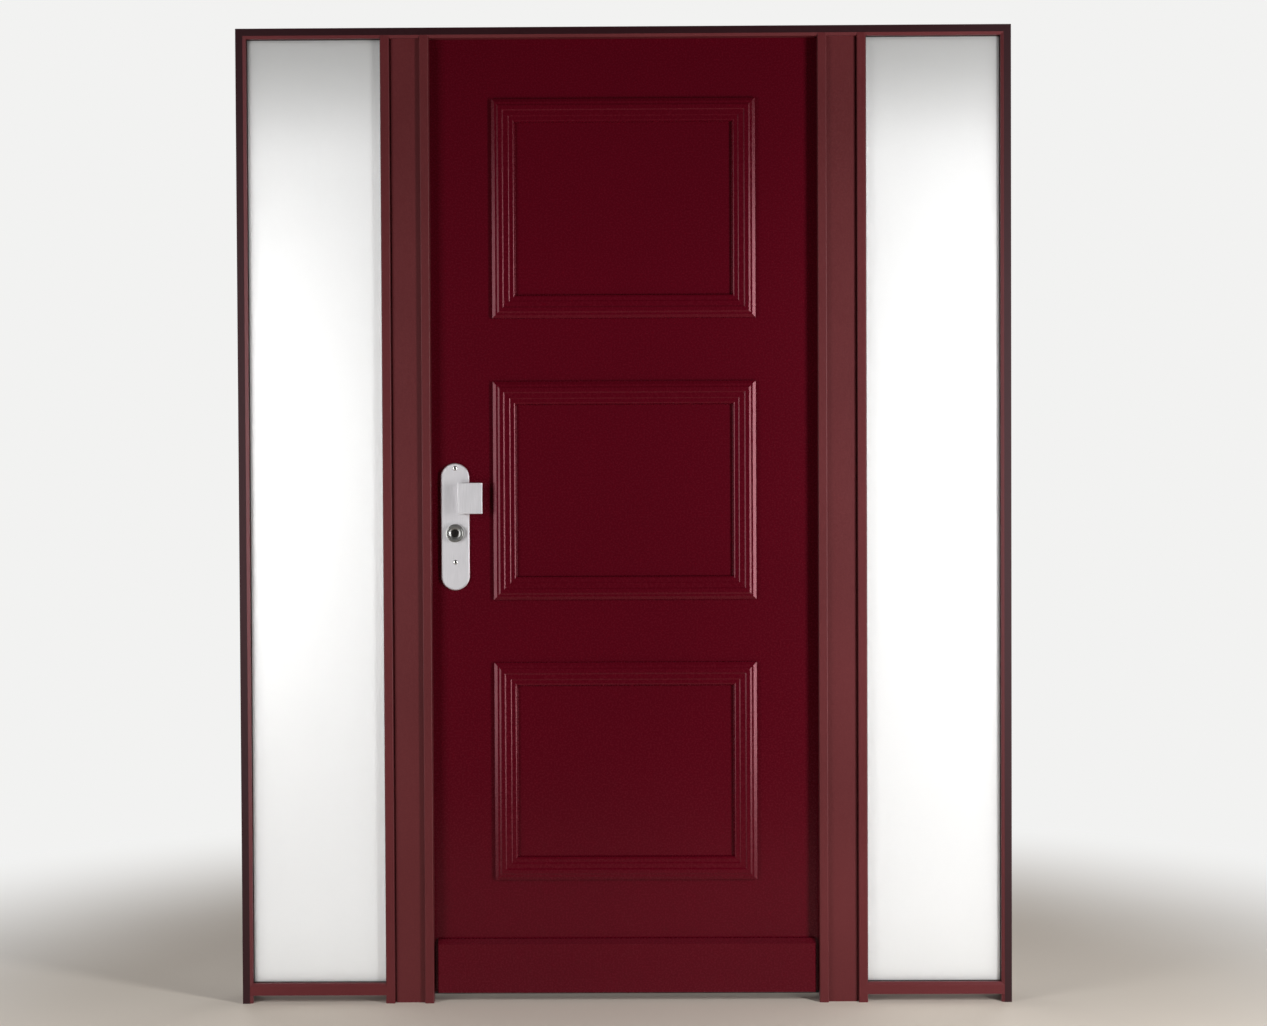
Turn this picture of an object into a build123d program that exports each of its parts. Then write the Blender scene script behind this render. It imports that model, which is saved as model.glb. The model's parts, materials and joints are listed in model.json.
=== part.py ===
from build123d import *
import math
import os

os.makedirs("parts", exist_ok=True)

# Steel security door in one frame with a fixed light on each side, seen from outside.
# +X runs to the right, +Y inwards and +Z up, in millimetres. The origin lies on the outer
# side of the left jamb, at floor level and halfway through the depth of the frame.

# Openings and visible widths of the frame
CLEAR_WIDTH = 850.0
CLEAR_HEIGHT = 2120.0
GLASS_WIDTH = 294.0
JAMB_FACE = 22.0
HEAD_FACE = 22.0
STRIP_FACE = 20.0
COVER_FACE = 66.0
RAIL_FACE = 26.0
RAIL_LIFT = 18.0

# Frame section
FRAME_DEPTH = 100.0
SHEET = 2.0
BEVEL_WIDTH = 6.0
BEVEL_DEPTH = 4.0
STRIP_ROUND = 2.5
LIP_DEPTH = 14.0
GLASS_REBATE = 12.0
COVER_RECESS = 9.0
COVER_THICKNESS = 3.0
COVER_GROOVE = 3.0
JOINT_COVER_WIDTH = 40.0
JOINT_COVER_THICKNESS = 3.0
JOINT_COVER_BEVEL = 1.5

# Side lights
GLASS_THICKNESS = 24.0
GLASS_CLEARANCE = 2.0
GLASS_GASKET_THICKNESS = 2.0
GLASS_GASKET_SHOWS = 1.5
BEAD_DEPTH = 18.0
BEAD_BEVEL = 5.0
BEAD_BEVEL_ANGLE = 45.0

# Leaf in its rebate
LEAF_RECESS = 30.0
LEAF_THICKNESS = 70.0
LEAF_LAP = 12.0
LEAF_TOP_LAP = 8.0
LOCK_GAP = 10.0
HINGE_GAP = 5.0
TOP_GAP = 5.0
STOP_GAP = 5.0
FLOOR_GAP = 20.0
SKIN = 2.0
STOP_GASKET_THICKNESS = 4.0
STOP_GASKET_WIDTH = 8.0
STOP_GASKET_INSET = 1.5
SEAL_DROP = 14.0
SEAL_THICKNESS = 18.0
SEAL_END_GAP = 4.0
SEAL_RUNNER = 3.0

# Kick plate
KICK_HEIGHT = 118.0
KICK_PROUD = 20.0
KICK_END_GAP = 8.0
KICK_BEVEL = 10.0
KICK_BEVEL_DEPTH = 12.0
KICK_EDGE = 1.5

# Raised mouldings
MOULDING_COUNT = 3
MOULDING_HEIGHT = 482.0
MOULDING_SIDE_MARGIN = 135.0
MOULDING_END_MARGIN = 130.0
MOULDING_FOOT = 7.0
OUTER_SLOPE_WIDTH = 7.6
OUTER_SLOPE_RISE = 3.2
LEDGE_WIDTH = 3.9
CREST_WIDTH = 7.5
TREAD_COUNT = 2
TREAD_WIDTH = 8.9
STEP_WIDTH = 4.0
STEP_RISE = 1.8

# Lock furniture outside
BACKSET = 63.0
CYLINDER_HEIGHT = 1036.0
PLATE_WIDTH = 62.0
PLATE_HEIGHT = 280.0
PLATE_THICKNESS = 8.0
PLATE_BEVEL = 2.0
PLATE_RISE = 14.0
PULL_WIDTH = 54.0
PULL_HEIGHT = 68.0
PULL_THICKNESS = 7.0
PULL_PROJECTION = 34.0
PULL_STEM = 12.0
PULL_OFFSET = 8.0
PULL_RISE = 77.0
PULL_ROUND = 1.2
GUARD_RADIUS = 20.0
GUARD_PROJECTION = 11.0
GUARD_BEVEL = 2.5
GUARD_RING_RADIUS = 15.5
GUARD_RING_SINK = 1.2
CYLINDER_RADIUS = 8.5
CYLINDER_TAIL_WIDTH = 10.0
CYLINDER_TAIL_DROP = 20.0
CYLINDER_SET_BACK = 2.5
KEYWAY_WIDTH = 2.4
KEYWAY_HEIGHT = 9.0
KEYWAY_DEPTH = 12.0
PASSAGE_CLEARANCE = 0.3

# Lock in the edge of the leaf
FACE_PLATE_WIDTH = 26.0
FACE_PLATE_HEIGHT = 300.0
CASE_WIDTH = 96.0
CASE_MARGIN = 12.0
CASE_THICKNESS = 22.0
BOLT_RADIUS = 9.0
BOLT_LENGTH = 45.0
BOLT_PITCH = 32.0
BOLT_COUNT = 3
LATCH_WIDTH = 12.0
LATCH_HEIGHT = 32.0
LATCH_LIFT = 62.0
STRIKE_WIDTH = 30.0
STRIKE_MARGIN = 20.0
STRIKE_CLEARANCE = 1.5

# Inner furniture
LEVER_RISE = 72.0
LEVER_THICKNESS = 9.0
LEVER_FACE = 20.0
LEVER_LENGTH = 125.0
LEVER_PROJECTION = 52.0
LEVER_BEND = 14.0
LEVER_TIP = 4.0
LEVER_COLLAR_RADIUS = 13.0
LEVER_COLLAR_LENGTH = 8.0
TURN_RADIUS = 16.0
TURN_BASE = 9.0
TURN_GRIP = 16.0
TURN_GRIP_WIDTH = 9.0
TURN_SHOULDER = 2.0
TURN_GRIP_BEVEL = 1.0

# Hinges
HINGE_LENGTH = 110.0
HINGE_END_DISTANCE = 210.0
KNUCKLE_RADIUS = 10.0
KNUCKLE_STANDOFF = 6.0
KNUCKLE_GAP = 0.5
PIN_RADIUS = 6.0
PIN_CLEARANCE = 0.05
PIN_LENGTH = 40.0
FLAG_WIDTH = 32.0
FLAG_THICKNESS = 4.0
FLAG_INSET = 2.0
FLAG_END = 1.5

# Wall anchors through the outer jambs
ANCHOR_RADIUS = 5.5
ANCHOR_END_DISTANCE = 250.0
ANCHOR_SET_BACK = 20.0

# Largest mismatch at which two corners count as the same point
SAME_POINT = 0.001

# Places that follow from the sizes
front = -FRAME_DEPTH / 2
back = FRAME_DEPTH / 2
post_width = 2 * STRIP_FACE + COVER_FACE
glass_left = JAMB_FACE
post_left = glass_left + GLASS_WIDTH
door_left = post_left + post_width
door_right = door_left + CLEAR_WIDTH
total_width = door_left + door_right
middle = total_width / 2
total_height = CLEAR_HEIGHT + HEAD_FACE
rail_top = RAIL_LIFT + RAIL_FACE

leaf_left = door_left - LEAF_LAP
leaf_right = door_right + LEAF_LAP
leaf_bottom = FLOOR_GAP
leaf_top = CLEAR_HEIGHT + LEAF_TOP_LAP
leaf_front = front + LEAF_RECESS
leaf_back = leaf_front + LEAF_THICKNESS
stop_back = leaf_front - STOP_GAP
lock_rebate = leaf_left - LOCK_GAP
hinge_rebate = leaf_right + HINGE_GAP
head_rebate = leaf_top + TOP_GAP

glass_front = front + LIP_DEPTH + GLASS_GASKET_THICKNESS
glass_back = glass_front + GLASS_THICKNESS

lock_x = leaf_left + BACKSET
lock_y = (leaf_front + leaf_back) / 2
plate_front = leaf_front - PLATE_THICKNESS
inner_plate_back = leaf_back + PLATE_THICKNESS
plate_height = CYLINDER_HEIGHT + PLATE_RISE
pull_height = CYLINDER_HEIGHT + PULL_RISE
lever_height = CYLINDER_HEIGHT + LEVER_RISE
guard_front = plate_front - GUARD_PROJECTION

hinge_x = leaf_right + HINGE_GAP / 2
hinge_y = leaf_back + KNUCKLE_STANDOFF + KNUCKLE_RADIUS
hinge_heights = {
    "bottom": leaf_bottom + HINGE_END_DISTANCE,
    "middle": (leaf_bottom + leaf_top) / 2,
    "top": leaf_top - HINGE_END_DISTANCE,
}

kick_top = leaf_bottom + KICK_HEIGHT
field_height = CLEAR_HEIGHT - kick_top - 2 * MOULDING_END_MARGIN
moulding_pitch = (field_height - MOULDING_HEIGHT) / (MOULDING_COUNT - 1)

# Width and rise of each face of the moulding, from its outer edge inwards
step_down = (STEP_WIDTH, -STEP_RISE)
moulding_steps = [
    (OUTER_SLOPE_WIDTH, OUTER_SLOPE_RISE),
    (LEDGE_WIDTH, 0),
    (STEP_WIDTH, STEP_RISE),
    (CREST_WIDTH, 0),
    *[step_down, (TREAD_WIDTH, 0)] * TREAD_COUNT,
    step_down,
]
moulding_width = sum(width for width, rise in moulding_steps)


# Basic forms
def block(left, right, near, far, low, high):
    """Rectangular block between pairs of X, Y and Z."""
    corner = (Align.MIN, Align.MIN, Align.MIN)
    return Pos(left, near, low) * Box(right - left, far - near, high - low, align=corner)


def section(points):
    """Flat face bounded by straight edges."""
    return make_face(Polyline(*points, close=True))


def rounded(face, corners, radius):
    """The face with the named corners rounded."""
    picked = [
        v for v in face.vertices()
        if any(math.hypot(v.X - x, v.Y - y) < SAME_POINT for x, y in corners)
    ]
    return fillet(picked, radius)


def upright(face, low, high):
    """Vertical bar over a plan section."""
    return Pos(0, 0, low) * extrude(face, high - low)


def crossbar(face, left, right):
    """Bar along X over a section drawn in Y and Z."""
    return extrude(Plane.YZ.offset(left) * face, right - left)


def facing(y):
    """Plane whose X and Y are the part's X and Z and whose normal points outdoors."""
    return Plane(origin=(0, y, 0), x_dir=(1, 0, 0), z_dir=(0, -1, 0))


def inward(face, near, far):
    """Solid over an outline drawn in X and Z, from one depth to another."""
    return extrude(facing(far) * face, far - near)


def mirrored(shape):
    """The same piece on the other side of the door set."""
    return mirror(shape, about=Plane.YZ.offset(middle))


def ring_frame(outer, inner, near, far):
    """Rectangular ring between two outlines given as left, right, low and high."""
    return block(outer[0], outer[1], near, far, outer[2], outer[3]) - block(
        inner[0], inner[1], near, far, inner[2], inner[3]
    )


# Frame
def jamb_section():
    """Plan section of the left outer jamb, with the bevel along the edge of its glass."""
    web = glass_left - GLASS_REBATE
    return section([
        (0, front),
        (glass_left - BEVEL_WIDTH, front),
        (glass_left, front + BEVEL_DEPTH),
        (glass_left, front + LIP_DEPTH),
        (web, front + LIP_DEPTH),
        (web, back),
        (0, back),
    ])


def corner_wedge(upper):
    """Half of the left top corner of the outer frame, above or below its mitre."""
    tip = (0, total_height) if not upper else (glass_left, total_height)
    foot = (0, CLEAR_HEIGHT) if not upper else (0, total_height)
    return inward(section([tip, (glass_left, CLEAR_HEIGHT), foot]), front, back)


def anchor_hole(height):
    """Hole through a jamb for one wall anchor, inside the glazing bead."""
    drill = Cylinder(ANCHOR_RADIUS, JAMB_FACE)
    return Pos(glass_left / 2, back - ANCHOR_SET_BACK, height) * Rot(0, 90, 0) * drill


def outer_jamb():
    jamb = upright(jamb_section(), 0, total_height)
    jamb -= corner_wedge(upper=True)
    for height in (ANCHOR_END_DISTANCE, total_height / 2, total_height - ANCHOR_END_DISTANCE):
        jamb -= anchor_hole(height)
    return jamb


def head_rail():
    face = section([
        (front, total_height),
        (front, CLEAR_HEIGHT + BEVEL_WIDTH),
        (front + BEVEL_DEPTH, CLEAR_HEIGHT),
        (back, CLEAR_HEIGHT),
        (back, total_height),
    ])
    rail = crossbar(face, 0, total_width)
    lower = corner_wedge(upper=False)
    rail -= lower
    rail -= mirrored(lower)
    glass_slot = block(
        glass_left - GLASS_REBATE, post_left + GLASS_REBATE,
        front + LIP_DEPTH, back, CLEAR_HEIGHT, CLEAR_HEIGHT + GLASS_REBATE,
    )
    rail -= glass_slot
    rail -= mirrored(glass_slot)
    rail -= block(lock_rebate, hinge_rebate, stop_back, back, CLEAR_HEIGHT, head_rebate)
    return rail


def side_stile(head):
    edge = post_left
    outer = post_left + STRIP_FACE
    face = section([
        (outer, front),
        (edge, front),
        (edge, front + LIP_DEPTH),
        (edge + GLASS_REBATE, front + LIP_DEPTH),
        (edge + GLASS_REBATE, back),
        (outer, back),
    ])
    face = rounded(face, [(outer, front), (edge, front)], STRIP_ROUND)
    return upright(face, 0, CLEAR_HEIGHT + BEVEL_WIDTH) - head


def door_jamb(head, rebate):
    """Folded hollow jamb on the left of the leaf, whose rebate for the leaf starts at X."""
    strip = door_left - STRIP_FACE
    core = post_left + STRIP_FACE
    shoulder = front + COVER_RECESS + COVER_THICKNESS
    face = section([
        (strip, front),
        (door_left, front),
        (door_left, stop_back),
        (rebate, stop_back),
        (rebate, back),
        (core, back),
        (core, shoulder),
        (strip, shoulder),
    ])
    face = rounded(face, [(strip, front), (door_left, front)], STRIP_ROUND)
    high = CLEAR_HEIGHT + BEVEL_WIDTH
    jamb = upright(face, 0, high)
    jamb -= block(core + SHEET, rebate - SHEET, shoulder + SHEET, back - SHEET, 0, high)
    jamb -= block(strip + SHEET, door_left - SHEET, front + SHEET, stop_back - SHEET, 0, high)
    jamb -= block(core + SHEET, door_left - SHEET, shoulder + SHEET, stop_back - SHEET, 0, high)
    return jamb - head


def strike_block():
    """Outline block of the strike plate, let into the wall of the lock jamb."""
    half = STRIKE_WIDTH / 2
    tall = FACE_PLATE_HEIGHT / 2 + STRIKE_MARGIN
    return block(
        lock_rebate - SHEET, lock_rebate, lock_y - half, lock_y + half,
        CYLINDER_HEIGHT - tall, CYLINDER_HEIGHT + tall,
    )


def lock_jamb(head):
    return door_jamb(head, lock_rebate) - strike_block()


def hinge_jamb(head):
    return mirrored(door_jamb(mirrored(head), total_width - hinge_rebate))


def post_cover(head):
    near = front + COVER_RECESS
    left = post_left + STRIP_FACE + COVER_GROOVE
    plate = block(left, door_left - STRIP_FACE, near, near + COVER_THICKNESS, 0, CLEAR_HEIGHT)
    return plate - head


def joint_cover():
    """Flat strip indoors, from the glass rebate over the joint between stile and jamb."""
    left = post_left + GLASS_REBATE
    right = left + JOINT_COVER_WIDTH
    far = back + JOINT_COVER_THICKNESS
    return upright(section([
        (left, back),
        (left, far - JOINT_COVER_BEVEL),
        (left + JOINT_COVER_BEVEL, far),
        (right - JOINT_COVER_BEVEL, far),
        (right, far - JOINT_COVER_BEVEL),
        (right, back),
    ]), 0, total_height)


def bottom_rail(jamb, stile):
    web = rail_top - GLASS_REBATE
    face = section([
        (front, RAIL_LIFT),
        (front, rail_top - BEVEL_WIDTH),
        (front + BEVEL_DEPTH, rail_top),
        (front + LIP_DEPTH, rail_top),
        (front + LIP_DEPTH, web),
        (back, web),
        (back, RAIL_LIFT),
    ])
    rail = crossbar(face, glass_left - GLASS_REBATE, post_left + GLASS_REBATE)
    return rail - jamb - stile


# Side lights
def rebate_outline(inset):
    """Outline of the glass rebate, drawn in from its walls: left, right, low and high."""
    return (
        glass_left - GLASS_REBATE + inset,
        post_left + GLASS_REBATE - inset,
        rail_top - GLASS_REBATE + inset,
        CLEAR_HEIGHT + GLASS_REBATE - inset,
    )


def side_glass():
    left, right, low, high = rebate_outline(GLASS_CLEARANCE)
    return block(left, right, glass_front, glass_back, low, high)


def glass_gasket():
    outer = rebate_outline(GLASS_CLEARANCE)
    inner = rebate_outline(GLASS_REBATE + GLASS_GASKET_SHOWS)
    return ring_frame(outer, inner, front + LIP_DEPTH, glass_front)


def glazing_bead():
    left, right, low, high = rebate_outline(GLASS_REBATE)
    ring = ring_frame(rebate_outline(0), (left, right, low, high), glass_back, glass_back + BEAD_DEPTH)
    width = right - left
    height = high - low
    face = facing(glass_back + BEAD_DEPTH - BEAD_BEVEL) * (
        Pos((left + right) / 2, (low + high) / 2) * Rectangle(width, height)
    )
    flare = extrude(face, -BEAD_BEVEL, taper=-BEAD_BEVEL_ANGLE)
    return ring - flare


# Leaf
def cylinder_outline(grow):
    """Profile cylinder seen from outside: a barrel over a narrower round-ended tail."""
    tail = CYLINDER_TAIL_WIDTH / 2
    foot = CYLINDER_HEIGHT - CYLINDER_TAIL_DROP
    barrel = Pos(lock_x, CYLINDER_HEIGHT) * Circle(CYLINDER_RADIUS + grow)
    web = Pos(lock_x, (CYLINDER_HEIGHT + foot) / 2) * Rectangle(
        2 * (tail + grow), CYLINDER_TAIL_DROP
    )
    toe = Pos(lock_x, foot) * Circle(tail + grow)
    return barrel + web + toe


def cylinder_passage():
    """The way of the lock cylinder through the leaf and the inner plate."""
    return inward(cylinder_outline(PASSAGE_CLEARANCE), leaf_front, inner_plate_back)


def face_plate_blank():
    """Round-ended plate that lies flush in the edge of the outer skin."""
    outline = SlotOverall(FACE_PLATE_HEIGHT, FACE_PLATE_WIDTH, rotation=90)
    return crossbar(Pos(lock_y, CYLINDER_HEIGHT) * outline, leaf_left, leaf_left + SKIN)


def case_block():
    """Body of the lock case, from below the lowest bolt to above the latch."""
    left = leaf_left + SKIN
    half = CASE_THICKNESS / 2
    low = min(bolt_places()) - BOLT_RADIUS - CASE_MARGIN
    high = CYLINDER_HEIGHT + LATCH_LIFT + LATCH_HEIGHT / 2 + CASE_MARGIN
    return block(left, left + CASE_WIDTH, lock_y - half, lock_y + half, low, high)


def bolt_places():
    """Heights of the round bolts, below the cylinder."""
    first = CYLINDER_HEIGHT - CYLINDER_TAIL_DROP - CYLINDER_TAIL_WIDTH - BOLT_RADIUS
    return [first - BOLT_PITCH * n for n in range(BOLT_COUNT)]


def bolt_bores(grow, left, right):
    """The round bolts and the latch as solids, each grown on all sides."""
    bolts = []
    for height in bolt_places():
        rod = Pos(lock_y, height) * Circle(BOLT_RADIUS + grow)
        bolts.append(crossbar(rod, left, right))
    wide = LATCH_WIDTH / 2 + grow
    tall = LATCH_HEIGHT / 2 + grow
    height = CYLINDER_HEIGHT + LATCH_LIFT
    bolts.append(block(left, right, lock_y - wide, lock_y + wide, height - tall, height + tall))
    return bolts


def leaf_outer_skin(passage):
    tray = block(leaf_left, leaf_right, leaf_front, leaf_back, leaf_bottom, leaf_top)
    tray -= block(
        leaf_left + SKIN, leaf_right - SKIN, leaf_front + SKIN, leaf_back,
        leaf_bottom + SKIN, leaf_top - SKIN,
    )
    return tray - face_plate_blank() - passage


def leaf_inner_skin(passage):
    sheet = block(
        leaf_left + SKIN, leaf_right - SKIN, leaf_back - SKIN, leaf_back,
        leaf_bottom + SKIN, leaf_top - SKIN,
    )
    return sheet - passage


def leaf_core(passage):
    core = block(
        leaf_left + SKIN, leaf_right - SKIN, leaf_front + SKIN, leaf_back - SKIN,
        leaf_bottom + SKIN, leaf_top - SKIN,
    )
    return core - case_block() - passage


def lock_case(passage):
    case = case_block() - passage
    for bore in bolt_bores(PASSAGE_CLEARANCE, leaf_left + SKIN, leaf_left + BOLT_LENGTH):
        case -= bore
    return case


def lock_face_plate():
    plate = face_plate_blank()
    for bore in bolt_bores(PASSAGE_CLEARANCE, leaf_left, leaf_left + SKIN):
        plate -= bore
    return plate


def lock_bolts():
    return Compound(children=bolt_bores(0, leaf_left, leaf_left + BOLT_LENGTH))


def strike_plate():
    plate = strike_block()
    for bore in bolt_bores(STRIKE_CLEARANCE, lock_rebate - SHEET, lock_rebate):
        plate -= bore
    return plate


def moulding_section():
    """Stepped section: u runs inwards from the outer edge, h stands off the face of the leaf."""
    u = 0
    h = MOULDING_FOOT
    points = [(0, 0), (u, h)]
    for width, rise in moulding_steps:
        u += width
        h += rise
        points.append((u, h))
    return section(points + [(u, 0)])


def moulding_side(length):
    """One side of a moulding along X, with its outer edge down at the origin and mitred ends."""
    half = length / 2
    plane = Plane(origin=(-half, 0, 0), x_dir=(0, 0, 1), z_dir=(1, 0, 0))
    bar = extrude(plane * moulding_section(), length)
    inner = half - moulding_width
    keep = section([(-half, 0), (half, 0), (inner, moulding_width), (-inner, moulding_width)])
    return bar & inward(keep, -half, half)


def moulding(low):
    """Mitred frame of four sides on the face of the leaf."""
    width = CLEAR_WIDTH - 2 * MOULDING_SIDE_MARGIN
    across = moulding_side(width)
    along = moulding_side(MOULDING_HEIGHT)
    half = MOULDING_HEIGHT / 2
    frame = Pos(0, 0, -half) * across + Rot(0, 180, 0) * (Pos(0, 0, -half) * across)
    frame += Rot(0, 90, 0) * (Pos(0, 0, -width / 2) * along)
    frame += Rot(0, -90, 0) * (Pos(0, 0, -width / 2) * along)
    return Pos(middle, leaf_front, low + half) * frame


def kick_plate():
    near = leaf_front - KICK_PROUD
    face = section([
        (leaf_front, leaf_bottom),
        (near + KICK_EDGE, leaf_bottom),
        (near, leaf_bottom + KICK_EDGE),
        (near, kick_top - KICK_BEVEL),
        (near + KICK_BEVEL_DEPTH, kick_top),
        (leaf_front, kick_top),
    ])
    left = door_left + KICK_END_GAP
    plate = crossbar(face, left, total_width - left)
    ends = [e for e in plate.edges().filter_by(Axis.Z) if e.center().Y < near + SAME_POINT]
    return chamfer(ends, KICK_EDGE)


def bottom_seal():
    half = SEAL_THICKNESS / 2
    runner = SEAL_RUNNER / 2
    low = leaf_bottom - SEAL_DROP
    return crossbar(section([
        (lock_y - half, leaf_bottom),
        (lock_y - runner, low),
        (lock_y + runner, low),
        (lock_y + half, leaf_bottom),
    ]), leaf_left + SEAL_END_GAP, leaf_right - SEAL_END_GAP)


def stop_gasket():
    """Seal on the back of the stop, round the top and both sides of the leaf."""
    inset = STOP_GASKET_INSET
    left = door_left - inset - STOP_GASKET_WIDTH
    top = CLEAR_HEIGHT + inset
    wide = STOP_GASKET_WIDTH
    near = stop_back
    far = stop_back + STOP_GASKET_THICKNESS
    seal = block(left, total_width - left, near, far, 0, min(top + wide, leaf_top))
    return seal - block(left + wide, total_width - left - wide, near, far, 0, top)


# Furniture
def long_plate(near, far, bevel_near):
    """Long plate with round ends round the cylinder, bevelled on its showing face."""
    outline = Pos(lock_x, plate_height) * SlotOverall(PLATE_HEIGHT, PLATE_WIDTH, rotation=90)
    plate = inward(outline, near, far)
    showing = near if bevel_near else far
    rim = [e for e in plate.edges() if abs(e.center().Y - showing) < SAME_POINT]
    rim = [e for e in rim if e.bounding_box().size.Y < SAME_POINT]
    return chamfer(rim, PLATE_BEVEL)


def outer_escutcheon():
    """Long plate outdoors, pierced by the barrel of the cylinder alone."""
    barrel = Pos(lock_x, CYLINDER_HEIGHT) * Circle(CYLINDER_RADIUS + PASSAGE_CLEARANCE)
    return long_plate(plate_front, leaf_front, True) - inward(barrel, plate_front, leaf_front)


def inner_escutcheon(passage):
    return long_plate(leaf_back, inner_plate_back, False) - passage


def pull_handle():
    """Flat tab on a stem that stands on the left part of the tab's back."""
    left = lock_x + PULL_OFFSET
    near = leaf_front - PULL_PROJECTION
    low = pull_height - PULL_HEIGHT / 2
    high = low + PULL_HEIGHT
    far = near + PULL_THICKNESS
    tab = upright(rounded(section([
        (left, near),
        (left + PULL_WIDTH, near),
        (left + PULL_WIDTH, far),
        (left + PULL_STEM, far),
        (left + PULL_STEM, plate_front),
        (left, plate_front),
    ]), [(left, near), (left + PULL_WIDTH, near), (left + PULL_WIDTH, far)], PULL_ROUND), low, high)
    rim = [e for e in tab.edges() if abs(e.center().Y - near) < SAME_POINT]
    rim = [e for e in rim if e.bounding_box().size.X > PULL_STEM]
    return chamfer(rim, PULL_ROUND / 2)


def cylinder_guard():
    """Round guard with a sunk inner ring, as a turned profile about the cylinder's axis."""
    bore = CYLINDER_RADIUS + PASSAGE_CLEARANCE
    high = GUARD_PROJECTION
    profile = Plane.XZ * section([
        (bore, 0),
        (GUARD_RADIUS, 0),
        (GUARD_RADIUS, high - GUARD_BEVEL),
        (GUARD_RADIUS - GUARD_BEVEL, high),
        (GUARD_RING_RADIUS, high),
        (GUARD_RING_RADIUS, high - GUARD_RING_SINK),
        (bore, high - GUARD_RING_SINK),
    ])
    guard = revolve(profile, Axis.Z)
    return Pos(lock_x, plate_front, CYLINDER_HEIGHT) * Rot(90, 0, 0) * guard


def lock_cylinder():
    """Barrel through the outer plate and its guard, then the full profile to the inner plate."""
    near = guard_front + CYLINDER_SET_BACK
    nose = inward(Pos(lock_x, CYLINDER_HEIGHT) * Circle(CYLINDER_RADIUS), near, leaf_front)
    body = inward(cylinder_outline(0), leaf_front, inner_plate_back)
    slot = Pos(lock_x, CYLINDER_HEIGHT) * Rectangle(KEYWAY_WIDTH, KEYWAY_HEIGHT)
    return nose + body - inward(slot, near, near + KEYWAY_DEPTH)


def thumb_turn():
    spot = Pos(lock_x, CYLINDER_HEIGHT)
    near = inner_plate_back + TURN_BASE
    base = inward(spot * Circle(TURN_RADIUS), inner_plate_back, near)
    high = 2 * (TURN_RADIUS - TURN_SHOULDER)
    grip = inward(spot * Rectangle(TURN_GRIP_WIDTH, high), near, near + TURN_GRIP)
    return base + chamfer(grip.edges().group_by(Axis.Y)[-1], TURN_GRIP_BEVEL)


def inner_lever():
    """Flat bar that leaves its collar, bends and runs towards the hinges."""
    half = LEVER_THICKNESS / 2
    left = lock_x - half
    right = lock_x + LEVER_LENGTH
    far = inner_plate_back + LEVER_PROJECTION
    near = far - LEVER_THICKNESS
    plan = section([
        (left, inner_plate_back),
        (lock_x + half, inner_plate_back),
        (lock_x + half, near),
        (right, near),
        (right, far),
        (left, far),
    ])
    plan = rounded(plan, [(left, far)], LEVER_BEND)
    plan = rounded(plan, [(lock_x + half, near)], LEVER_BEND - LEVER_THICKNESS)
    plan = rounded(plan, [(right, near), (right, far)], LEVER_TIP)
    bar = upright(plan, lever_height - LEVER_FACE / 2, lever_height + LEVER_FACE / 2)
    spot = Pos(lock_x, lever_height) * Circle(LEVER_COLLAR_RADIUS)
    return bar + inward(spot, inner_plate_back, inner_plate_back + LEVER_COLLAR_LENGTH)


# Hinges
def hinge_flag(side, low, high):
    """Plate on the inner face with the web that carries its knuckle; side is -1 on the leaf."""
    root = hinge_x + side * HINGE_GAP / 2
    near = root + side * FLAG_INSET
    tip = near + side * FLAG_WIDTH
    shoulder = hinge_x + side * KNUCKLE_RADIUS
    flag_back = leaf_back + FLAG_THICKNESS
    return upright(section([
        (root, leaf_back),
        (tip, leaf_back),
        (tip, flag_back),
        (shoulder + side * FLAG_THICKNESS, flag_back),
        (shoulder, hinge_y),
        (root, hinge_y),
    ]), low, high)


def hinge_rod(radius, low, high):
    """Round bar on the hinge line."""
    return upright(Pos(hinge_x, hinge_y) * Circle(radius), low, high)


def hinge_frame_half(centre):
    """Lower knuckle with its pin, on a flag that is fixed to the frame."""
    end = centre - HINGE_LENGTH / 2
    knuckle = hinge_rod(KNUCKLE_RADIUS, end, centre)
    pin = hinge_rod(PIN_RADIUS, centre, centre + PIN_LENGTH)
    return hinge_flag(1, end + FLAG_END, centre) + knuckle + pin


def hinge_leaf_half(centre):
    """Upper knuckle with its blind bore, on a flag that is fixed to the leaf."""
    low = centre + KNUCKLE_GAP
    end = centre + HINGE_LENGTH / 2
    knuckle = hinge_rod(KNUCKLE_RADIUS, low, end)
    bore = hinge_rod(PIN_RADIUS + PIN_CLEARANCE, low, low + PIN_LENGTH)
    return hinge_flag(-1, low, end - FLAG_END) + knuckle - bore


def save(name, shape):
    """Write one piece under the name of its node."""
    export_step(shape, f"parts/{name}.step")


# The frame and its side lights
head = head_rail()
jamb = outer_jamb()
stile = side_stile(head)
rail = bottom_rail(jamb, stile)
save("head_rail", head)
save("lock_jamb", lock_jamb(head))
save("hinge_jamb", hinge_jamb(head))
save("strike_plate", strike_plate())
save("stop_gasket", stop_gasket())

pairs = {
    "outer_jamb": jamb,
    "side_stile": stile,
    "bottom_rail": rail,
    "post_cover": post_cover(head),
    "joint_cover": joint_cover(),
    "glass": side_glass(),
    "glass_gasket": glass_gasket(),
    "glazing_bead": glazing_bead(),
}
for name, piece in pairs.items():
    save(f"left_{name}", piece)
    save(f"right_{name}", mirrored(piece))

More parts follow.
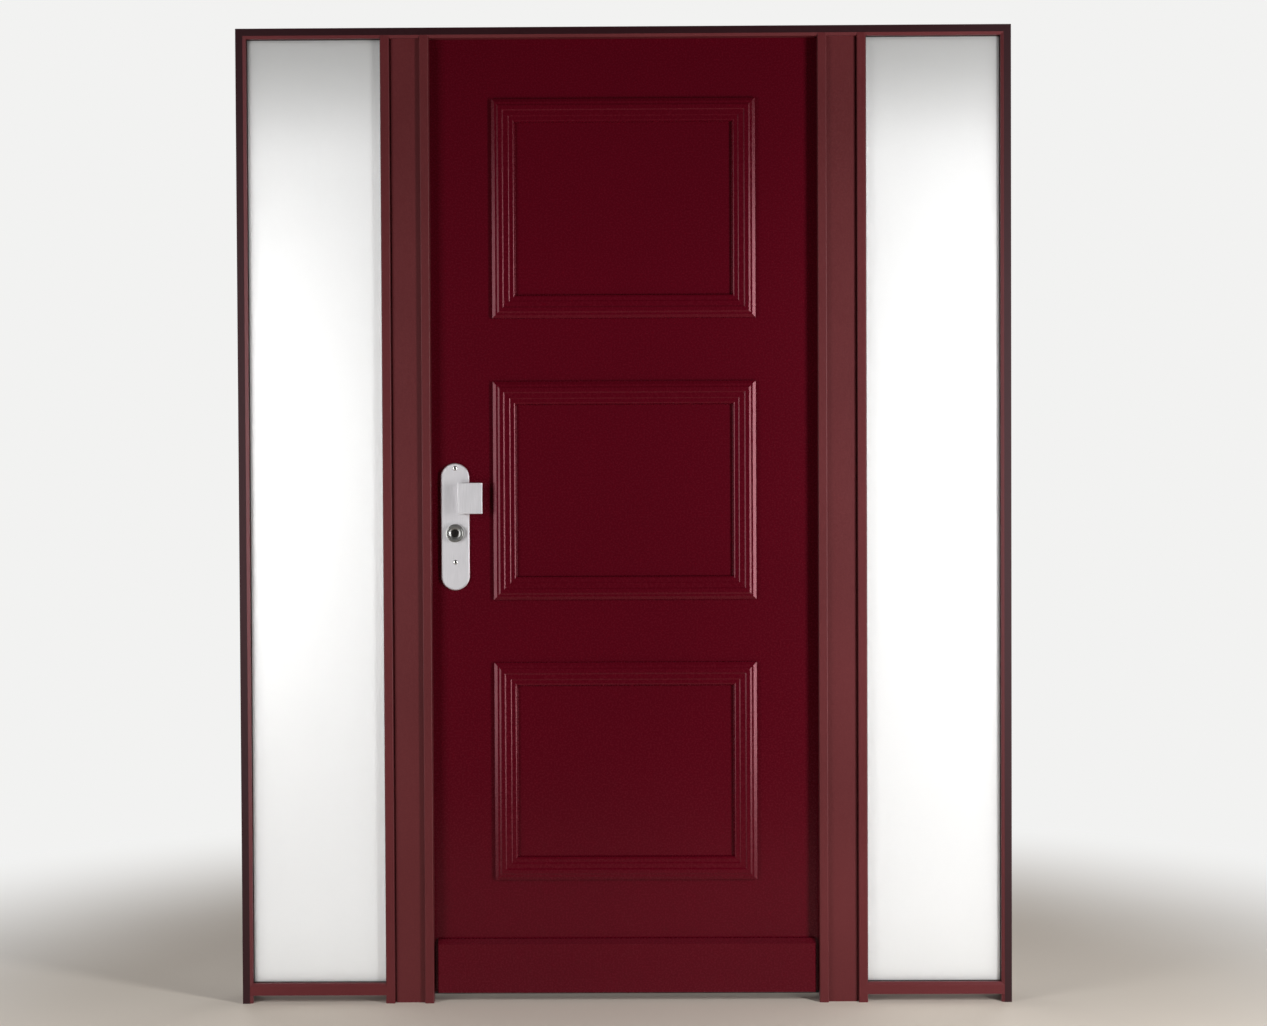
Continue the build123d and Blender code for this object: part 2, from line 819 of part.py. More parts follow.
# The leaf with its lock and furniture
passage = cylinder_passage()
save("leaf_outer_skin", leaf_outer_skin(passage))
save("leaf_inner_skin", leaf_inner_skin(passage))
save("leaf_core", leaf_core(passage))
save("lock_case", lock_case(passage))
save("lock_face_plate", lock_face_plate())
save("lock_bolts", lock_bolts())
save("lock_cylinder", lock_cylinder())
save("cylinder_guard", cylinder_guard())
save("outer_escutcheon", outer_escutcheon())
save("inner_escutcheon", inner_escutcheon(passage))
save("pull_handle", pull_handle())
save("inner_lever", inner_lever())
save("thumb_turn", thumb_turn())
save("kick_plate", kick_plate())
save("bottom_seal", bottom_seal())

for number, name in enumerate(["bottom", "middle", "top"]):
    low = kick_top + MOULDING_END_MARGIN + number * moulding_pitch
    save(f"{name}_moulding", moulding(low))

for name, height in hinge_heights.items():
    save(f"{name}_hinge_frame_half", hinge_frame_half(height))
    save(f"{name}_hinge_leaf_half", hinge_leaf_half(height))
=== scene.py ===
import json
import logging
import math
from abc import ABC, abstractmethod
from dataclasses import dataclass, field
from enum import Enum
from typing import Any

import bmesh
import bpy
from mathutils import Matrix, Vector


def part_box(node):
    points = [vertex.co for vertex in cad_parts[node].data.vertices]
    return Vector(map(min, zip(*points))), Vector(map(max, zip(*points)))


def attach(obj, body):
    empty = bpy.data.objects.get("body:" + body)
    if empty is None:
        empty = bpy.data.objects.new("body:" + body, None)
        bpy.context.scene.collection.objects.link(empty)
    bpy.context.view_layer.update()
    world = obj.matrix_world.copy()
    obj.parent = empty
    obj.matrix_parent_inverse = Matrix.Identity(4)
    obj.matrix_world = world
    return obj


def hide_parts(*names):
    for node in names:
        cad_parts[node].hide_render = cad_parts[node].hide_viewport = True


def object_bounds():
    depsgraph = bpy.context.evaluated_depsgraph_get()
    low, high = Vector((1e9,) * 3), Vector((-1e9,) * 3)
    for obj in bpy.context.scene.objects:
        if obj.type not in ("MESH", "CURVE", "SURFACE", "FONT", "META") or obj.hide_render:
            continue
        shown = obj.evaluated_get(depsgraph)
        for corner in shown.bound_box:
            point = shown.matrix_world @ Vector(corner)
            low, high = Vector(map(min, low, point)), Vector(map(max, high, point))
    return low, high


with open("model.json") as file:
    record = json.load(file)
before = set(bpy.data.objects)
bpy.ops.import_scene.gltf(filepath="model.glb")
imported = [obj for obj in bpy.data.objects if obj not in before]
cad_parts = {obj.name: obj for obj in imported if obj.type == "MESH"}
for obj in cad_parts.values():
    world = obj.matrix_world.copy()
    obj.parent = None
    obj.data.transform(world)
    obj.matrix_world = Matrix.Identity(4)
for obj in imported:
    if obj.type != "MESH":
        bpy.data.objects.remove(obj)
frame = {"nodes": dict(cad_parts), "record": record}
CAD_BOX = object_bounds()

LOG = logging.getLogger("security_door")
MM = 0.001
FRAME_BODY = "frame"
LEAF_BODY = "door_leaf"
# Outer frame nodes that get painted shade along the outline of the set.
SHADE_RIM_NODES = ("left_outer_jamb", "right_outer_jamb", "head_rail")

# Nearly all values of a noise texture lie in this span.
NOISE_SPAN = (0.3, 0.7)
POLYMER_IOR = 1.5
GLASS_IOR = 1.52

Colour = tuple[float, float, float, float]
Span = tuple[float, float]
Size = tuple[float, float, float]
Tree = bpy.types.NodeTree
Node = bpy.types.Node
Socket = bpy.types.NodeSocket


class Facing(Enum):
    """The way a screw head looks, as the turn that brings it there from facing up."""

    OUTDOORS = (math.pi / 2, 0.0, 0.0)
    INDOORS = (-math.pi / 2, 0.0, 0.0)
    LOCK_SIDE = (0.0, -math.pi / 2, 0.0)
    HINGE_SIDE = (0.0, math.pi / 2, 0.0)


class Flank(Enum):
    """How a value or a step of a section climbs: in a straight line or as a rounded wave."""

    FLAT = "LINEAR"
    ROUNDED = "SMOOTHSTEP"


def linear(code: str) -> Colour:
    """Turns an sRGB hex colour into the linear values that a shader takes.

    Args:
        code: Colour written as six hex digits.

    Returns:
        Linear red, green and blue with an alpha of one.
    """
    knee, slope, offset, power = 0.04045, 12.92, 0.055, 2.4

    def channel(start: int) -> float:
        """Linear value of the two digits at start."""
        value = int(code[start:start + 2], 16) / 255
        return value / slope if value <= knee else ((value + offset) / (1 + offset)) ** power

    return (channel(0), channel(2), channel(4), 1.0)


def add_node(tree: Tree, kind: str, inputs: dict[Any, Any] | None = None,
             **settings: Any) -> Node:
    """Adds one node with its settings, socket values and links.

    Args:
        tree: Shader or geometry node tree that gets the node.
        kind: Blender's type name of the node.
        inputs: Socket name or number, with a value or the socket that feeds it.
        settings: Properties of the node itself.

    Returns:
        The new node.
    """
    node = tree.nodes.new(kind)
    for key, value in settings.items():
        setattr(node, key, value)
    for key, value in (inputs or {}).items():
        if isinstance(value, Socket):
            tree.links.new(value, node.inputs[key])
        else:
            node.inputs[key].default_value = value
    return node


def calculate(tree: Tree, operation: str, *values: Any) -> Socket:
    """Adds a math node on numbers or sockets.

    Args:
        tree: Shader or geometry node tree that gets the node.
        operation: Blender's name of the operation.
        values: Its operands in order.

    Returns:
        The socket with the result.
    """
    return add_node(tree, "ShaderNodeMath", dict(enumerate(values)),
                    operation=operation).outputs[0]


def remap(tree: Tree, value: Socket, given: Span, wanted: Span = (0.0, 1.0),
          flank: Flank = Flank.FLAT) -> Socket:
    """Adds a node that maps one span of values onto another and keeps to its ends.

    Args:
        tree: Shader or geometry node tree that gets the node.
        value: Socket with the value.
        given: Span that the value comes in.
        wanted: Span that it leaves in.
        flank: How it climbs between the ends.

    Returns:
        The socket with the mapped value.
    """
    return add_node(tree, "ShaderNodeMapRange", {
        "Value": value, "From Min": given[0], "From Max": given[1],
        "To Min": wanted[0], "To Max": wanted[1]},
        interpolation_type=flank.value).outputs["Result"]


def mix_colours(tree: Tree, share: Socket, first: Any, second: Any) -> Socket:
    """Adds a node that goes from one colour to another.

    Args:
        tree: Shader tree that gets the node.
        share: Socket with the share of the second colour.
        first: Colour, or socket with a colour, at a share of nought.
        second: Colour, or socket with a colour, at a share of one.

    Returns:
        The socket with the mixed colour.
    """
    return add_node(tree, "ShaderNodeMix", {"Factor": share, "A": first, "B": second},
                    data_type="RGBA").outputs["Result"]


def object_place(tree: Tree) -> Socket:
    """Adds the object's own coordinates, in metres."""
    return add_node(tree, "ShaderNodeTexCoord").outputs["Object"]


def parts_of(tree: Tree, place: Socket) -> dict[str, Socket]:
    """Splits a vector into its X, Y and Z sockets."""
    split = add_node(tree, "ShaderNodeSeparateXYZ", {"Vector": place})
    return {axis: split.outputs[axis] for axis in "XYZ"}


def noise(tree: Tree, repeats: Size, detail: float, roughness: float = 0.5) -> Socket:
    """Adds noise that is fixed to the object.

    Args:
        tree: Shader tree that gets the nodes.
        repeats: Grains per metre along X, Y and Z.
        detail: How many finer layers it has.
        roughness: How strong the finer layers are.

    Returns:
        The socket with the noise, from 0 to 1.
    """
    stretched = add_node(tree, "ShaderNodeMapping", {
        "Vector": object_place(tree), "Scale": repeats}).outputs["Vector"]
    return add_node(tree, "ShaderNodeTexNoise", {
        "Vector": stretched, "Scale": 1.0, "Detail": detail,
        "Roughness": roughness}).outputs["Fac"]


def per_metre(size_mm: Size) -> Size:
    """Turns the size of a grain along each axis into repeats per metre."""
    return tuple(1 / (size * MM) for size in size_mm)


def relief(tree: Tree, height: Socket, strength: float, depth_mm: float) -> Socket:
    """Adds a bump.

    Args:
        tree: Shader tree that gets the node.
        height: Socket with the height, from 0 to 1.
        strength: How much of the bump shows.
        depth_mm: Depth that the full height stands for.

    Returns:
        The socket with the bumped normal.
    """
    return add_node(tree, "ShaderNodeBump", {
        "Height": height, "Strength": strength, "Distance": depth_mm * MM}).outputs["Normal"]


def around(middle: float, spread: Span) -> Span:
    """The span that lies round a middle value."""
    return (middle + spread[0], middle + spread[1])


def node_material(name: str) -> bpy.types.Material:
    """Makes an empty node material of that name."""
    material = bpy.data.materials.new(name)
    material.use_nodes = True
    material.node_tree.nodes.clear()
    return material


@dataclass(frozen=True)
class Finish(ABC):
    """The surface of a real material."""

    name: str

    @abstractmethod
    def surface(self, tree: Tree) -> dict[str, Any]:
        """Finds what the Principled shader gets.

        Args:
            tree: The material's shader tree.

        Returns:
            Values and sockets by the name of the shader's input.
        """

    def material(self) -> bpy.types.Material:
        """Builds the material.

        Returns:
            A node material with one Principled shader.
        """
        material = node_material(self.name)
        tree = material.node_tree
        shader = add_node(tree, "ShaderNodeBsdfPrincipled", self.surface(tree))
        add_node(tree, "ShaderNodeOutputMaterial", {"Surface": shader.outputs["BSDF"]})
        return material


@dataclass(frozen=True)
class PaintedSteel(Finish):
    """Sheet steel under baked polyester powder coat: satin, with a fine orange peel.

    The peel breaks up highlights a little, and the film is slightly paler where it is thin.
    The gloss carries some of the pigment, so highlights come out in its tint.
    """

    base: str
    thin: str
    roughness: float
    gleam: str
    peel_mm: float = 3.0
    peel_depth_mm: float = 0.2
    peel_strength: float = 0.35
    peel_detail: float = 3.0
    peel_fineness: float = 0.55
    mottle_mm: float = 420.0
    mottle_detail: float = 2.0
    speck_onset: Span = (0.42, 0.75)
    speck_share: float = 0.35
    drift_share: float = 0.4
    roughness_spread: Span = (-0.05, 0.06)

    def surface(self, tree: Tree) -> dict[str, Any]:
        """Finds the colour, gloss and peel of the paint.

        Args:
            tree: The material's shader tree.

        Returns:
            Values and sockets by the name of the shader's input.
        """
        peel = noise(tree, per_metre((self.peel_mm,) * 3), self.peel_detail, self.peel_fineness)
        cloud = noise(tree, per_metre((self.mottle_mm,) * 3), self.mottle_detail)
        speck = remap(tree, peel, self.speck_onset, (0.0, self.speck_share))
        drift = remap(tree, cloud, NOISE_SPAN, (0.0, self.drift_share))
        share = calculate(tree, "ADD", speck, drift)
        film = mix_colours(tree, share, linear(self.base), linear(self.thin))
        return {
            "Base Color": self.shaded(tree, film),
            "Roughness": remap(tree, peel, NOISE_SPAN,
                               around(self.roughness, self.roughness_spread)),
            "IOR": POLYMER_IOR,
            "Specular Tint": linear(self.gleam),
            "Normal": relief(tree, peel, self.peel_strength, self.peel_depth_mm),
        }

    def shaded(self, tree: Tree, film: Socket) -> Socket:
        """The film's colour with any painted shade on it; plain paint keeps the film as it is."""
        return film


@dataclass(frozen=True)
class ShadeRimmedSteel(PaintedSteel):
    """The same powder coat with painted shade, nearly black, along the outline of the set,
    standing in for the shadow on the outer edge of the frame.

    The rim is everything nearer than its width to the left, right or upper outline.
    """

    # Colour of the painted shade along the outline.
    shade_colour: str = "280b10"
    shade_rim_mm: float = 16.0
    blend_mm: float = 0.6
    outline: Span = (CAD_BOX[1].x, CAD_BOX[1].z)

    def shaded(self, tree: Tree, film: Socket) -> Socket:
        """Paints shade on the film along the outline.

        Args:
            tree: The shader tree.
            film: Socket with the colour of the paint inside the rim.

        Returns:
            The socket with the colour of the whole piece.
        """
        place = parts_of(tree, object_place(tree))
        width, height = self.outline
        right = calculate(tree, "SUBTRACT", width, place["X"])
        side = calculate(tree, "MINIMUM", place["X"], right)
        upper = calculate(tree, "SUBTRACT", height, place["Z"])
        near = calculate(tree, "MINIMUM", side, upper)
        inside = remap(tree, near, ((self.shade_rim_mm - self.blend_mm) * MM, self.shade_rim_mm * MM))
        return mix_colours(tree, inside, linear(self.shade_colour), film)


@dataclass(frozen=True)
class OpalGlass(Finish):
    """Laminated glass with an opal layer and an etched face: milky, with a soft shine.

    It lets some light through. Its colour carries painted shade: grey towards the head, a little
    off-white at the foot and white in the middle.
    """

    # Top is the grey painted shade at the head of the pane, foot the lighter painted shade at its
    # foot, heart the plain white between.
    top: str
    heart: str
    foot: str
    reach: Span
    heart_share: Span = (0.1, 0.86)
    roughness: float = 0.45
    passing: float = 0.6
    etch_mm: float = 1.6
    etch_depth_mm: float = 0.1
    etch_strength: float = 0.08
    etch_detail: float = 4.0

    def surface(self, tree: Tree) -> dict[str, Any]:
        """Finds the pane's tone, with painted shade that greys it towards the head and a little
        at the foot, and the etching.

        Args:
            tree: The material's shader tree.

        Returns:
            Values and sockets by the name of the shader's input.
        """
        height = parts_of(tree, object_place(tree))["Z"]
        ramp = add_node(tree, "ShaderNodeValToRGB", {"Fac": remap(tree, height, self.reach)})
        ramp.color_ramp.interpolation = "EASE"
        stops = ramp.color_ramp.elements
        stops[0].color = linear(self.foot)
        stops[1].color = linear(self.top)
        for spot in self.heart_share:
            stops.new(spot).color = linear(self.heart)
        etch = noise(tree, per_metre((self.etch_mm,) * 3), self.etch_detail)
        return {
            "Base Color": ramp.outputs["Color"],
            "Roughness": self.roughness,
            "IOR": GLASS_IOR,
            "Transmission Weight": self.passing,
            "Normal": relief(tree, etch, self.etch_strength, self.etch_depth_mm),
        }


@dataclass(frozen=True)
class BrushedMetal(Finish):
    """Ground metal: long fine scratches along one axis that draw highlights out sideways."""

    base: str
    roughness: float
    scratch_mm: Size
    scratch_depth_mm: float = 0.1
    scratch_strength: float = 0.25
    scratch_detail: float = 5.0
    scratch_fineness: float = 0.6
    tone_span: Span = (0.86, 1.06)
    roughness_spread: Span = (-0.06, 0.08)

    def surface(self, tree: Tree) -> dict[str, Any]:
        """Finds the tone, gloss and depth of the scratches.

        Args:
            tree: The material's shader tree.

        Returns:
            Values and sockets by the name of the shader's input.
        """
        scratch = noise(tree, per_metre(self.scratch_mm), self.scratch_detail,
                        self.scratch_fineness)
        tone = remap(tree, scratch, NOISE_SPAN, self.tone_span)
        colour = add_node(tree, "ShaderNodeVectorMath", {
            0: linear(self.base)[:3], 1: tone}, operation="MULTIPLY")
        return {
            "Base Color": colour.outputs["Vector"],
            "Metallic": 1.0,
            "Roughness": remap(tree, scratch, NOISE_SPAN,
                               around(self.roughness, self.roughness_spread)),
            "Normal": relief(tree, scratch, self.scratch_strength, self.scratch_depth_mm),
        }


@dataclass(frozen=True)
class FoamRubber(Finish):
    """Extruded EPDM seal: nearly black, matt, with a faint bloom."""

    base: str
    bloom: str
    roughness: float = 0.72
    grain_mm: float = 2.0
    grain_depth_mm: float = 0.1
    grain_strength: float = 0.3
    grain_detail: float = 4.0

    def surface(self, tree: Tree) -> dict[str, Any]:
        """Finds the bloom and grain of the rubber.

        Args:
            tree: The material's shader tree.

        Returns:
            Values and sockets by the name of the shader's input.
        """
        grain = noise(tree, per_metre((self.grain_mm,) * 3), self.grain_detail)
        return {
            "Base Color": mix_colours(tree, grain, linear(self.base), linear(self.bloom)),
            "Roughness": self.roughness,
            "IOR": POLYMER_IOR,
            "Normal": relief(tree, grain, self.grain_strength, self.grain_depth_mm),
        }


@dataclass(frozen=True)
class PressedWool(Finish):
    """Pressed mineral wool: dull straw-brown fibres that lie in layers."""

    base: str
    fibre: str
    roughness: float = 0.95
    fibre_mm: Size = (9.0, 1.2, 9.0)
    fibre_detail: float = 6.0

    def surface(self, tree: Tree) -> dict[str, Any]:
        """Finds the colour of the fibres.

        Args:
            tree: The material's shader tree.

        Returns:
            Values and sockets by the name of the shader's input.
        """
        strand = noise(tree, per_metre(self.fibre_mm), self.fibre_detail)
        return {
            "Base Color": mix_colours(tree, strand, linear(self.base), linear(self.fibre)),
            "Roughness": self.roughness,
        }


def door_finishes() -> dict[str, Finish]:
    """Lists the finish of each slot of the record, and three that only some pieces wear.

    Returns:
        The finishes by slot, or by the name that those pieces ask for.
    """
    wine = {"base": "541a1d", "thin": "66272a", "roughness": 0.45, "gleam": "e8ccd0"}
    return {
        # Brownish wine red with a soft sheen on the posts, jambs and rails.
        "frame_paint": PaintedSteel("powder_coat_wine_red", **wine),
        # The same red with painted shade that turns it nearly black along the outline of the set.
        "frame_shade_rim": ShadeRimmedSteel("powder_coat_painted_shade_rim", **wine),
        # Deeper, glossier red with pink highlights on the leaf.
        "leaf_paint": PaintedSteel(
            "satin_enamel_deep_wine", "4a0210", "540213", 0.26, "ffb4bf",
            peel_mm=4.0, peel_depth_mm=0.01, mottle_mm=600.0),
        # Milk white panes with painted shade that greys them towards the head and a little at the
        # foot.
        "frosted_glass": OpalGlass(
            "opal_laminated_glass", "cfcfce", "ffffff", "fafaf9", (0.02, 2.13)),
        # Black seams round the panes and the leaf.
        "black_rubber": FoamRubber("epdm_rubber", "121212", "232222"),
        # Pale plate and pull with an upright grind.
        "satin_steel": BrushedMetal(
            "satin_stainless_steel", "f6f4f7", 0.52, (0.35, 0.35, 40.0)),
        # Bright points that the screws make on the plate.
        "polished_screw": BrushedMetal(
            "polished_stainless_steel", "d6d6d4", 0.2, (9.0, 9.0, 9.0)),
        # Darker ring round the cylinder, ground from front to back.
        "turned_ring": BrushedMetal(
            "turned_stainless_steel", "aaaaa8", 0.36, (0.35, 12.0, 0.35)),
        # Nickel cylinder whose colour is painted nearly black as painted shade for its place deep
        # in the guard, on top of the dark bore it reflects.
        "cylinder_nickel": BrushedMetal("nickel_with_painted_shade", "5c5a57", 0.3, (0.4, 6.0, 0.4)),
        # Dull bluish grey of the lock's case, bolts and edge plates.
        "lock_steel": BrushedMetal("zinc_plated_steel", "aeb0b4", 0.42, (3.0, 3.0, 3.0)),
        # Bright knuckles with rings of turning marks.
        "hinge_steel": BrushedMetal("turned_steel_hinge", "c2c0c4", 0.34, (6.0, 6.0, 0.35)),
        # Straw-brown core that no view shows while the leaf is whole.
        "mineral_wool": PressedWool("pressed_mineral_wool", "6d6038", "a3955f"),
    }


@dataclass
class Finishes:
    """The finishes of the door set, each built once."""

    kinds: dict[str, Finish] = field(default_factory=door_finishes)
    made: dict[str, bpy.types.Material] = field(default_factory=dict)

    def of(self, kind: str) -> bpy.types.Material:
        """The material of a slot or of an added finish.

        Args:
            kind: Name in the list of finishes.

        Returns:
            The material, built when it is first asked for.
        """
        if kind not in self.made:
            self.made[kind] = self.kinds[kind].material()
        return self.made[kind]


def dress_cad_nodes(finishes: Finishes) -> None:
    """Gives every carried-over node the material of its slot, and the outer frame its rim of
    painted shade.

    Args:
        finishes: The finishes of the door set.
    """
    for row in frame["record"]["subparts"]:
        node = frame["nodes"][row["node"]]
        kind = "frame_shade_rim" if row["node"] in SHADE_RIM_NODES else row["material_slot"]
        node.data.materials.clear()
        node.data.materials.append(finishes.of(kind))
        LOG.info("node %s wears %s", row["node"], kind)


def new_tree(name: str, sockets: dict[str, str]) -> tuple[Tree, Node]:
    """Starts a geometry node tree with named inputs.

    Args:
        name: Name of the tree.
        sockets: Name and socket type of each input after the geometry.

    Returns:
        The tree and its input node.
    """
    tree = bpy.data.node_groups.new(name, "GeometryNodeTree")
    tree.interface.new_socket("Geometry", in_out="INPUT", socket_type="NodeSocketGeometry")
    for label, kind in sockets.items():
        tree.interface.new_socket(label, in_out="INPUT", socket_type=kind)
    tree.interface.new_socket("Geometry", in_out="OUTPUT", socket_type="NodeSocketGeometry")
    return tree, tree.nodes.new("NodeGroupInput")


def end_tree(tree: Tree, geometry: Socket, material: Socket) -> None:
    """Ends a tree in realized instances that wear a material.

    Args:
        tree: The geometry node tree.
        geometry: Socket with the finished geometry.
        material: Socket with the material.
    """
    real = add_node(tree, "GeometryNodeRealizeInstances", {"Geometry": geometry})
    worn = add_node(tree, "GeometryNodeSetMaterial", {
        "Geometry": real.outputs["Geometry"], "Material": material})
    add_node(tree, "NodeGroupOutput", {"Geometry": worn.outputs["Geometry"]})


def soften(tree: Tree, geometry: Socket, limit: float = math.radians(28)) -> Socket:
    """Shades a mesh smooth, save at its sharp edges.

    Args:
        tree: The geometry node tree.
        geometry: Socket with the mesh.
        limit: Angle in radians from which an edge stays sharp.

    Returns:
        The socket with the shaded mesh.
    """
    faces = add_node(tree, "GeometryNodeSetShadeSmooth", {"Geometry": geometry}, domain="FACE")
    bend = add_node(tree, "GeometryNodeInputMeshEdgeAngle").outputs["Unsigned Angle"]
    return add_node(tree, "GeometryNodeSetShadeSmooth", {
        "Geometry": faces.outputs["Geometry"],
        "Shade Smooth": calculate(tree, "LESS_THAN", bend, limit)},
        domain="EDGE").outputs["Geometry"]


def grow(name: str, seed: bpy.types.Mesh, tree: Tree,
         values: dict[str, Any]) -> bpy.types.Object:
    """Runs a tree on a seed mesh and keeps the result as a plain mesh.

    Args:
        name: Name of the new piece.
        seed: Mesh that the tree starts from.
        tree: Geometry node tree.
        values: Values of the tree's named inputs.

    Returns:
        The new object, at the origin and with no modifier.
    """
    source = bpy.data.objects.new(f"{name}_source", seed)
    bpy.context.scene.collection.objects.link(source)
    modifier = source.modifiers.new("Nodes", "NODES")
    modifier.node_group = tree
    for item in tree.interface.items_tree:
        if item.in_out == "INPUT" and item.name in values:
            modifier[item.identifier] = values[item.name]
    graph = bpy.context.evaluated_depsgraph_get()
    mesh = bpy.data.meshes.new_from_object(source.evaluated_get(graph))
    mesh.name = name
    bpy.data.objects.remove(source)
    piece = bpy.data.objects.new(name, mesh)
    bpy.context.scene.collection.objects.link(piece)
    return piece


def outward_normals(piece: bpy.types.Object) -> None:
    """Turns every face of a closed piece outwards.

    Args:
        piece: Mesh object whose shell is closed.
    """
    shell = bmesh.new()
    shell.from_mesh(piece.data)
    bmesh.ops.recalc_face_normals(shell, faces=shell.faces)
    shell.to_mesh(piece.data)
    shell.free()


@dataclass(frozen=True)
class Step:
    """One rise or fall across a section, in millimetres from its outer edge."""

    start: float
    end: float
    rise: float
    flank: Flank = Flank.FLAT


@dataclass
class SteppedRing(ABC):
    """A closed ring on a flat face, whose section is a run of steps from its outer edge in."""

    finishes: Finishes
    label: str
    slot: str
    finish: str
    nodes: tuple[str, ...]
    band_mm: float
    samples: int
    turns: int
    steps: tuple[Step, ...]
    weld_mm: float = 0.01

    @abstractmethod
    def spread(self, tree: Tree, given: Node, along: Socket,
               inset: Socket) -> tuple[Socket, Socket]:
        """Finds where a point of the strip lies round the ring.

        Args:
            tree: The geometry node tree.
            given: Input node with the ring's outer width and height.
            along: Place along the ring, from -0.5 to 0.5.
            inset: Distance from the outer edge, in metres.

        Returns:
            Sockets with the places across and up, from the ring's centre.
        """

    def tree(self) -> Tree:
        """Builds the tree: a strip whose columns cross the section and whose rows run round.

        The last column goes back to the outer edge, which closes the section at its foot.

        Returns:
            The geometry node tree.
        """
        tree, given = new_tree(self.label, {
            "Width": "NodeSocketFloat", "Height": "NodeSocketFloat", "Band": "NodeSocketFloat",
            "Centre": "NodeSocketVector", "Material": "NodeSocketMaterial"})
        strip = add_node(tree, "GeometryNodeMeshGrid", {
            "Size X": 1.0, "Size Y": 1.0, "Vertices X": self.samples + 1,
            "Vertices Y": self.turns + 1})
        place = parts_of(tree, add_node(tree, "GeometryNodeInputPosition").outputs["Position"])
        across = calculate(tree, "ADD", place["X"], 0.5)
        running = calculate(tree, "LESS_THAN", across, (self.samples - 0.5) / self.samples)
        scaled = calculate(tree, "MULTIPLY", across, self.samples / (self.samples - 1))
        share = calculate(tree, "MULTIPLY", scaled, running)
        inset = calculate(tree, "MULTIPLY", share, given.outputs["Band"])
        sideways, upwards = self.spread(tree, given, place["Y"], inset)
        outwards = calculate(tree, "MULTIPLY", self.section(tree, inset), -1.0)
        spot = add_node(tree, "ShaderNodeCombineXYZ", {
            "X": sideways, "Y": outwards, "Z": upwards})
        moved = add_node(tree, "ShaderNodeVectorMath", {
            0: spot.outputs["Vector"], 1: given.outputs["Centre"]}, operation="ADD")
        shaped = add_node(tree, "GeometryNodeSetPosition", {
            "Geometry": strip.outputs["Mesh"], "Position": moved.outputs["Vector"]})
        closed = add_node(tree, "GeometryNodeMergeByDistance", {
            "Geometry": shaped.outputs["Geometry"], "Distance": self.weld_mm * MM})
        shaded = soften(tree, closed.outputs["Geometry"])
        end_tree(tree, shaded, given.outputs["Material"])
        return tree

    def section(self, tree: Tree, inset: Socket) -> Socket:
        """Adds up the steps of the section.

        Args:
            tree: The geometry node tree.
            inset: Distance from the outer edge, in metres.

        Returns:
            A socket with the height over the face, in metres.
        """
        total = None
        for step in self.steps:
            part = remap(tree, inset, (step.start * MM, step.end * MM),
                         (0.0, step.rise * MM), step.flank)
            total = part if total is None else calculate(tree, "ADD", total, part)
        return total

    def build(self) -> None:
        """Grows one ring over each of its nodes."""
        tree = self.tree()
        for node in self.nodes:
            low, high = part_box(node)
            centre = (low + high) / 2
            centre.y = high.y
            piece = grow(f"{node}_stepped", bpy.data.meshes.new(node), tree, {
                "Width": high.x - low.x, "Height": high.z - low.z, "Band": self.band_mm * MM,
                "Centre": centre, "Material": self.finishes.of(self.finish)})
            outward_normals(piece)
            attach(piece, LEAF_BODY)
            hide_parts(node)
            LOG.info("%s has %d faces", piece.name, len(piece.data.polygons))


@dataclass
class RaisedMouldings(SteppedRing):
    """The three stepped and mitred frames on the outer face of the leaf."""

    label: str = "SteppedMoulding"
    slot: str = "leaf_paint"
    finish: str = "leaf_paint"
    nodes: tuple[str, ...] = ("bottom_moulding", "middle_moulding", "top_moulding")
    band_mm: float = 52.8
    samples: int = 176
    turns: int = 4
    steps: tuple[Step, ...] = (
        Step(0.0, 0.6, 7.2),
        Step(0.6, 7.6, 3.0),
        Step(11.5, 15.5, 1.8),
        Step(23.0, 27.0, -1.8, Flank.ROUNDED),
        Step(35.9, 39.9, -1.3, Flank.ROUNDED),
        Step(46.2, 50.2, -1.3, Flank.ROUNDED),
        Step(50.2, 52.8, -7.6),
    )

    def spread(self, tree: Tree, given: Node, along: Socket,
               inset: Socket) -> tuple[Socket, Socket]:
        """Runs the strip round a rectangle from corner to corner, so its rows are the mitres.

        Args:
            tree: The geometry node tree.
            given: Input node with the rectangle's outer width and height.
            along: Place along the ring, from -0.5 to 0.5.
            inset: Distance from the outer edge, in metres.

        Returns:
            Sockets with the places across and up, from the rectangle's centre.
        """
        turn = calculate(tree, "MULTIPLY_ADD", along, self.turns, self.turns / 2)
        corner = calculate(tree, "ROUND", turn)
        sides = []
        for label, first in (("Width", 1), ("Height", 2)):
            sign = self.corner_sign(tree, corner, first)
            half = calculate(tree, "MULTIPLY", given.outputs[label], 0.5)
            reach = calculate(tree, "SUBTRACT", half, inset)
            sides.append(calculate(tree, "MULTIPLY", reach, sign))
        return sides[0], sides[1]

    def corner_sign(self, tree: Tree, corner: Socket, first: int) -> Socket:
        """Finds the side of the centre on which a corner lies.

        Args:
            tree: The geometry node tree.
            corner: Number of the corner, from 0 to 4.
            first: First of the two corners that lie on the positive side.

        Returns:
            A socket that holds 1 for those two corners and -1 for the others.
        """
        gap = calculate(tree, "SUBTRACT", corner, first + 0.5)
        near = calculate(tree, "LESS_THAN", calculate(tree, "ABSOLUTE", gap), 1.0)
        return calculate(tree, "MULTIPLY_ADD", near, 2.0, -1.0)


